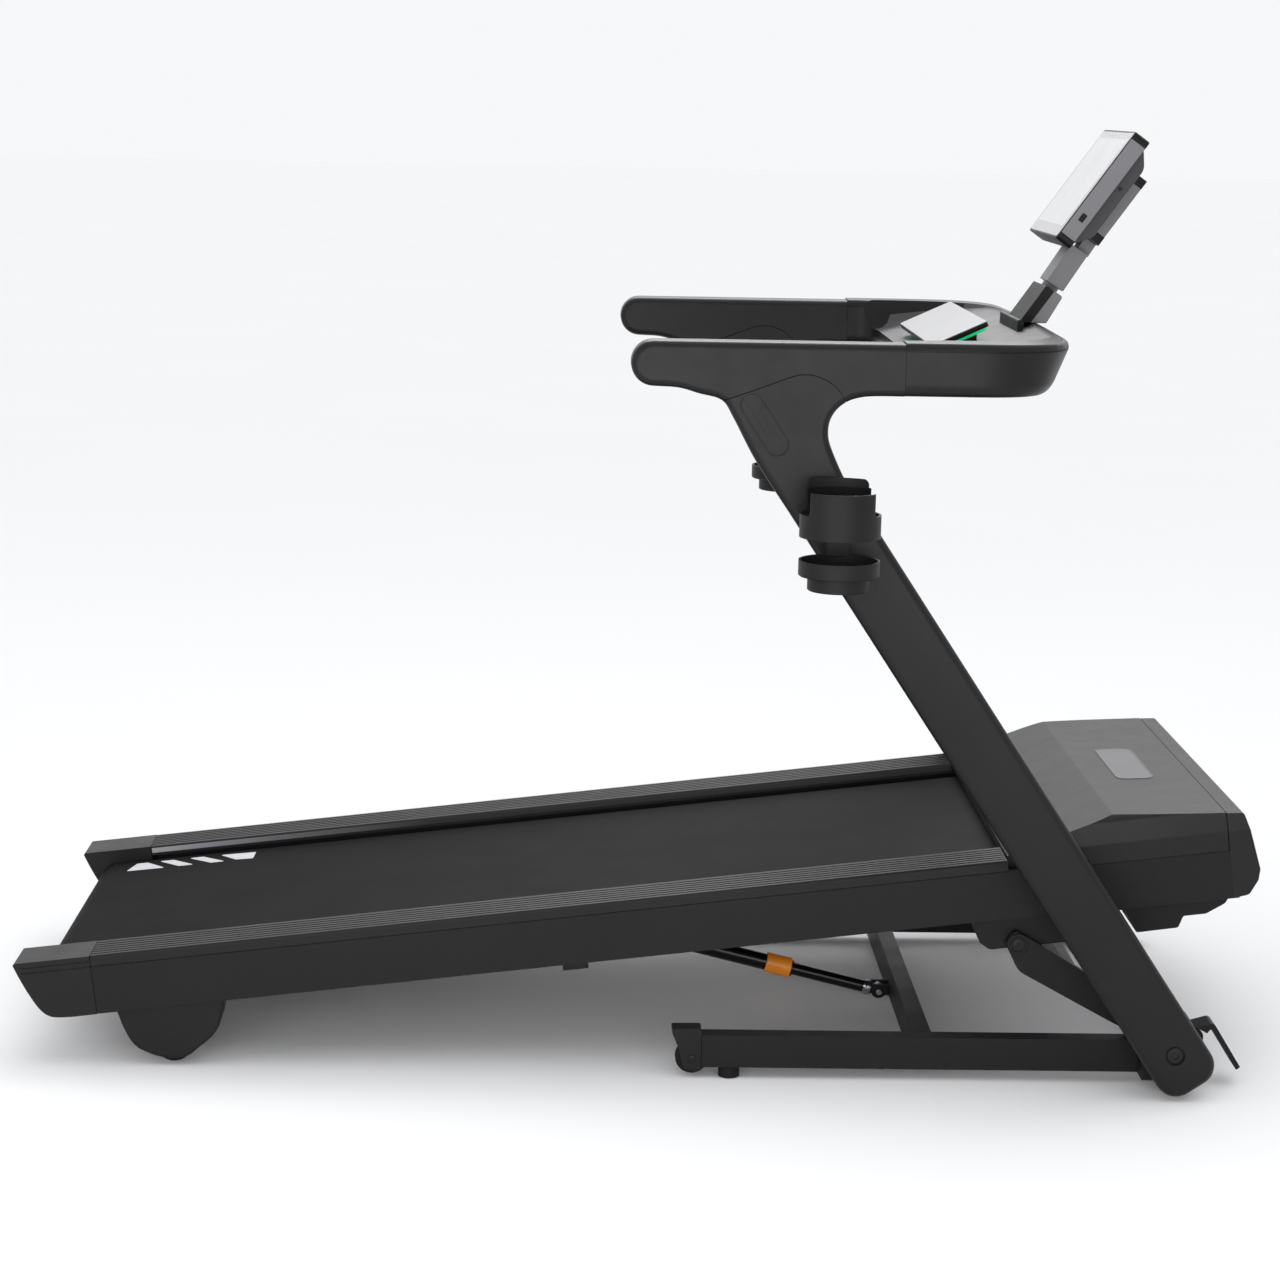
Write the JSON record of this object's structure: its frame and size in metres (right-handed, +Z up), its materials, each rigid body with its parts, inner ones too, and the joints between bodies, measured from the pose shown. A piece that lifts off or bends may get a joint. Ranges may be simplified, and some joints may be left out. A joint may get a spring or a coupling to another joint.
{
  "type": "folding treadmill",
  "caption": "Folding treadmill with powered incline: running deck, motor hood, leaning uprights, handrails, console with tilting screen, cup holders and a gas strut.",
  "frame": {"origin": "on the floor, below the middle of the object's bounding box", "axes": "+X from the user's back towards the motor end, +Y to the user's left, +Z up"},
  "size_m": [1.9461, 1.2514, 1.4714],
  "materials": {
    "frame_paint": "fine textured satin charcoal powder coat",
    "moulded_plastic": "fine grained charcoal moulding",
    "hood_plastic": "satin charcoal moulding, glossier on the hood's sides",
    "rubber": "matt black rubber",
    "running_belt": "fine diamond textured black belt",
    "steel": "turned and plated steel",
    "screen_metal": "fine blasted grey metal",
    "glass": "clear glossy face over a pale display",
    "sleeve_orange": "orange moulding",
    "status_light": "green light bar behind clear plastic",
    "red_plastic": "red moulding",
    "deck_board": "waxed fibreboard"
  },
  "bodies": {
    "base": {"base_rail_right": "frame_paint", "base_rail_left": "frame_paint", "rail_end_cap_right": "moulded_plastic", "rail_end_cap_left": "moulded_plastic", "levelling_foot_right": "rubber", "levelling_foot_left": "rubber", "front_foot_right": "rubber", "front_foot_left": "rubber", "upright_right": "frame_paint", "upright_left": "frame_paint", "handrail_pod_right": "moulded_plastic", "handrail_pod_left": "moulded_plastic", "handrail_right": "moulded_plastic", "handrail_left": "moulded_plastic", "cup_holder_right": "moulded_plastic", "cup_holder_left": "moulded_plastic", "base_cross_tube": "frame_paint", "base_front_tube": "frame_paint", "console_shell": "hood_plastic", "console_panel": "glass", "console_light_strip": "status_light", "screen_post": "moulded_plastic"},
    "transport_wheel_right": {"transport_wheel_right": "rubber"},
    "transport_wheel_left": {"transport_wheel_left": "rubber"},
    "safety_key": {"safety_key": "red_plastic"},
    "screen_arm": {"screen_arm": "screen_metal"},
    "screen": {"screen_mount": "moulded_plastic", "screen_housing": "screen_metal", "screen_glass": "glass"},
    "lift_pins": {"lift_pin_right": "steel", "lift_pin_left": "steel"},
    "lift_frame": {"lift_frame": "frame_paint"},
    "deck": {"deck_frame": "frame_paint", "deck_board": "deck_board", "running_belt": "running_belt", "drive_motor": "steel", "drive_belt": "rubber", "motor_hood": "hood_plastic", "hood_front_cap": "hood_plastic", "lower_cover": "moulded_plastic", "power_inlet": "moulded_plastic", "foot_rail_right": "moulded_plastic", "foot_rail_left": "moulded_plastic", "rail_end_cover_right": "moulded_plastic", "rail_end_cover_left": "moulded_plastic", "rear_foot_right": "moulded_plastic", "rear_foot_left": "moulded_plastic"},
    "front_roller": {"front_roller": "steel"},
    "rear_roller": {"rear_roller": "steel"},
    "motor_pulley": {"motor_pulley": "steel"},
    "rear_wheel_right": {"rear_wheel_right": "rubber"},
    "rear_wheel_left": {"rear_wheel_left": "rubber"},
    "power_switch": {"power_switch": "red_plastic"},
    "strut_pin": {"strut_pin": "steel"},
    "strut_rod": {"strut_rod": "steel"},
    "strut_cylinder": {"strut_cylinder": "frame_paint"},
    "strut_release_sleeve": {"strut_release_sleeve": "sleeve_orange"},
    "strut_eye": {"strut_eye": "steel"},
    "incline_motor": {"incline_motor": "steel"},
    "incline_screw": {"incline_screw": "steel"}
  },
  "joints": [
    {"name": "fold", "type": "hinge", "parent": "base", "child": "lift_pins", "pos_m": [0.8253, 0, 0.0756], "axis": [0, 1, 0], "range_deg": [0, 54]},
    {"name": "incline", "type": "hinge", "parent": "lift_pins", "child": "lift_frame", "pos_m": [0.8253, 0, 0.0756], "axis": [0, 1, 0], "range_deg": [-34.4, 0]},
    {"name": "deck_level", "type": "hinge", "parent": "lift_frame", "child": "deck", "pos_m": [0.597, 0, 0.212], "axis": [0, 1, 0], "range_deg": [0, 41]},
    {"name": "strut_pin_turn", "type": "hinge", "parent": "base", "child": "strut_pin", "pos_m": [0.42, 0, 0.023], "axis": [0, 1, 0], "range_deg": [-9, 0]},
    {"name": "strut_turn", "type": "hinge", "parent": "strut_pin", "child": "strut_rod", "pos_m": [0.42, 0, 0.023], "axis": [0, 1, 0], "range_deg": [0, 71.6]},
    {"name": "strut_extend", "type": "slide", "parent": "strut_rod", "child": "strut_cylinder", "axis": [-0.9716, 0, 0.2368], "range_m": [0, 0.315]},
    {"name": "strut_release", "type": "slide", "parent": "strut_cylinder", "child": "strut_release_sleeve", "axis": [-0.9716, 0, 0.2368], "range_m": [0, 0.012], "stiffness_N_per_m": 400},
    {"name": "strut_eye_travel", "type": "slide", "parent": "strut_cylinder", "child": "strut_eye", "axis": [-0.9716, 0, 0.2368], "range_m": [0, 0.029]},
    {"name": "incline_motor_turn", "type": "hinge", "parent": "deck", "child": "incline_motor", "pos_m": [0.73042, 0, 0.35896], "axis": [0, 1, 0], "range_deg": [0, 4.9]},
    {"name": "incline_screw_travel", "type": "slide", "parent": "incline_motor", "child": "incline_screw", "axis": [-0.1602, 0, -0.9871], "range_m": [-0.078, 0]},
    {"name": "transport_wheel_right_spin", "type": "hinge", "parent": "base", "child": "transport_wheel_right", "pos_m": [0.0858, -0.388, 0.0313], "axis": [0, 1, 0], "continuous": true},
    {"name": "transport_wheel_left_spin", "type": "hinge", "parent": "base", "child": "transport_wheel_left", "pos_m": [0.0858, 0.388, 0.0313], "axis": [0, 1, 0], "continuous": true},
    {"name": "rear_wheel_right_spin", "type": "hinge", "parent": "deck", "child": "rear_wheel_right", "pos_m": [-0.72956, -0.338, 0.02998], "axis": [0, 1, 0], "continuous": true},
    {"name": "rear_wheel_left_spin", "type": "hinge", "parent": "deck", "child": "rear_wheel_left", "pos_m": [-0.72956, 0.338, 0.02998], "axis": [0, 1, 0], "continuous": true},
    {"name": "front_roller_spin", "type": "hinge", "parent": "deck", "child": "front_roller", "pos_m": [0.62799, 0, 0.30617], "axis": [0, 1, 0], "continuous": true},
    {"name": "rear_roller_spin", "type": "hinge", "parent": "deck", "child": "rear_roller", "pos_m": [-0.91166, 0, 0.12726], "axis": [0, 1, 0], "continuous": true},
    {"name": "motor_pulley_spin", "type": "hinge", "parent": "deck", "child": "motor_pulley", "pos_m": [0.81947, 0, 0.3052], "axis": [0, 1, 0], "continuous": true},
    {"name": "screen_swivel", "type": "hinge", "parent": "base", "child": "screen_arm", "pos_m": [0.6588, 0, 1.2152], "axis": [0.5402, 0, 0.8415], "range_deg": [-45, 45]},
    {"name": "screen_tilt", "type": "hinge", "parent": "screen_arm", "child": "screen", "pos_m": [0.72202, 0, 1.29701], "axis": [0, 1, 0], "range_deg": [-8, 10]},
    {"name": "safety_key_pull", "type": "slide", "parent": "base", "child": "safety_key", "axis": [-1, 0, 0], "range_m": [0, 0.03]},
    {"name": "power_switch_rock", "type": "hinge", "parent": "deck", "child": "power_switch", "pos_m": [0.96348, 0.202, 0.33056], "axis": [0, 1, 0], "range_deg": [0, 14]}
  ],
  "couplings": [
    {"joint": "deck_level", "follows": "incline", "ratio": -1.191},
    {"joint": "strut_pin_turn", "follows": "incline", "ratio": 0.25139},
    {"joint": "strut_turn", "follows": "fold", "ratio": 1.3211},
    {"joint": "strut_extend", "follows": "fold", "m_per_rad": 0.33313},
    {"joint": "strut_eye_travel", "follows": "incline", "m_per_rad": -0.046066},
    {"joint": "incline_motor_turn", "follows": "incline", "ratio": -0.13954},
    {"joint": "incline_screw_travel", "follows": "incline", "m_per_rad": 0.12791},
    {"joint": "rear_roller_spin", "follows": "front_roller_spin", "ratio": 1.2542},
    {"joint": "motor_pulley_spin", "follows": "front_roller_spin", "ratio": 1.52}
  ]
}
